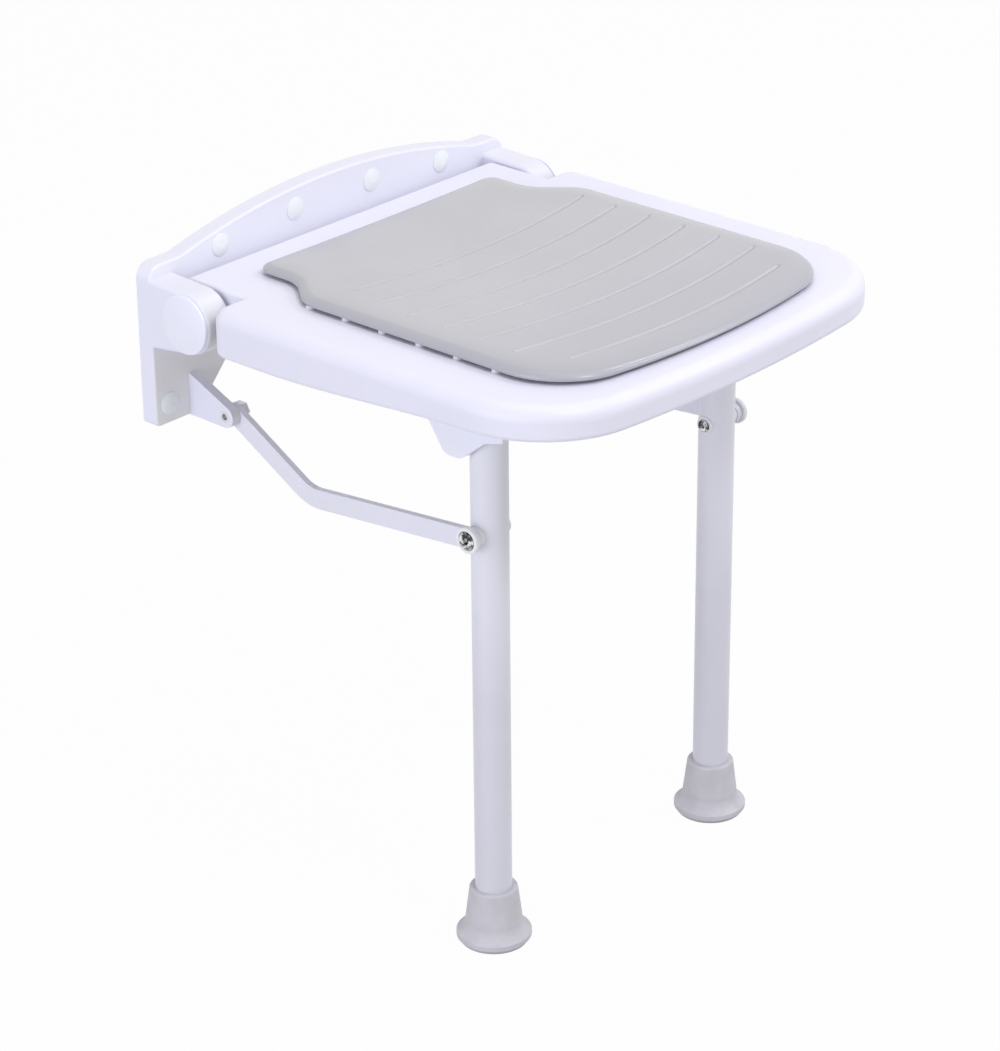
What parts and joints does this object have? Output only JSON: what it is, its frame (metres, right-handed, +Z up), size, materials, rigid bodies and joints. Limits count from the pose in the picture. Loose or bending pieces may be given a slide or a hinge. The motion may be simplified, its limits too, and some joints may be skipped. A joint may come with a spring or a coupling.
{
  "type": "folding shower chair",
  "caption": "Wall-mounted shower chair with a padded, bowed seat that folds up on side hinges while its legs stay upright on parallel link bars.",
  "frame": {"origin": "on the wall face, in the middle of the chair and level with the seat hinge", "axes": "+X to the right as seen from in front, +Y into the wall, +Z up"},
  "size_m": [0.399, 0.4209, 0.512],
  "materials": {
    "seat_plastic": "fine satin moulding",
    "cap_plastic": "smooth",
    "base_plastic": "plain moulding",
    "pad_foam": "soft skin with fine grain",
    "leg_paint": "smooth powder coat",
    "foot_rubber": "matt",
    "bright_steel": "polished",
    "plain_steel": "plain"
  },
  "bodies": {
    "wall": {"wall_plate": "seat_plastic", "screw_caps": "cap_plastic", "hinge_pin_right": "plain_steel", "hinge_pin_left": "plain_steel", "hinge_cap_right": "seat_plastic", "hinge_cap_left": "seat_plastic", "link_bolt_right": "plain_steel", "link_bolt_left": "plain_steel", "link_nut_right": "plain_steel", "link_nut_left": "plain_steel"},
    "seat": {"seat_shell": "seat_plastic", "seat_base": "base_plastic", "seat_base_screws": "plain_steel", "seat_pad": "pad_foam", "leg_bracket_screws": "plain_steel", "hinge_bush_right": "base_plastic", "hinge_bush_left": "base_plastic", "leg_bracket_right": "seat_plastic", "leg_bracket_left": "seat_plastic", "leg_pivot_bolt_right": "plain_steel", "leg_pivot_bolt_left": "plain_steel"},
    "right_leg": {"leg_tube_right": "leg_paint", "leg_plug_right": "base_plastic", "leg_foot_right": "foot_rubber", "leg_foot_washer_right": "plain_steel", "leg_bolt_right": "bright_steel", "leg_nut_right": "bright_steel", "leg_ring_right": "base_plastic", "leg_spacer_right": "base_plastic", "leg_saddle_right": "base_plastic"},
    "left_leg": {"leg_tube_left": "leg_paint", "leg_plug_left": "base_plastic", "leg_foot_left": "foot_rubber", "leg_foot_washer_left": "plain_steel", "leg_bolt_left": "bright_steel", "leg_nut_left": "bright_steel", "leg_ring_left": "base_plastic", "leg_spacer_left": "base_plastic", "leg_saddle_left": "base_plastic"},
    "right_link": {"link_right": "leg_paint"},
    "left_link": {"link_left": "leg_paint"}
  },
  "joints": [
    {"name": "seat_fold", "type": "hinge", "parent": "wall", "child": "seat", "pos_m": [0, -0.051, 0], "axis": [-1, 0, 0], "range_deg": [0, 90]},
    {"name": "right_leg_swing", "type": "hinge", "parent": "seat", "child": "right_leg", "pos_m": [0.1294, -0.2904, -0.0295], "axis": [1, 0, 0], "range_deg": [0, 90]},
    {"name": "left_leg_swing", "type": "hinge", "parent": "seat", "child": "left_leg", "pos_m": [-0.1294, -0.2904, -0.0295], "axis": [1, 0, 0], "range_deg": [0, 90]},
    {"name": "right_link_swing", "type": "hinge", "parent": "wall", "child": "right_link", "pos_m": [0.14875, -0.051, -0.0852], "axis": [-1, 0, 0], "range_deg": [0, 90]},
    {"name": "left_link_swing", "type": "hinge", "parent": "wall", "child": "left_link", "pos_m": [-0.14875, -0.051, -0.0852], "axis": [-1, 0, 0], "range_deg": [0, 90]}
  ],
  "couplings": [
    {"joint": "right_leg_swing", "follows": "seat_fold", "ratio": 1},
    {"joint": "left_leg_swing", "follows": "seat_fold", "ratio": 1},
    {"joint": "right_link_swing", "follows": "seat_fold", "ratio": 1},
    {"joint": "left_link_swing", "follows": "seat_fold", "ratio": 1}
  ]
}
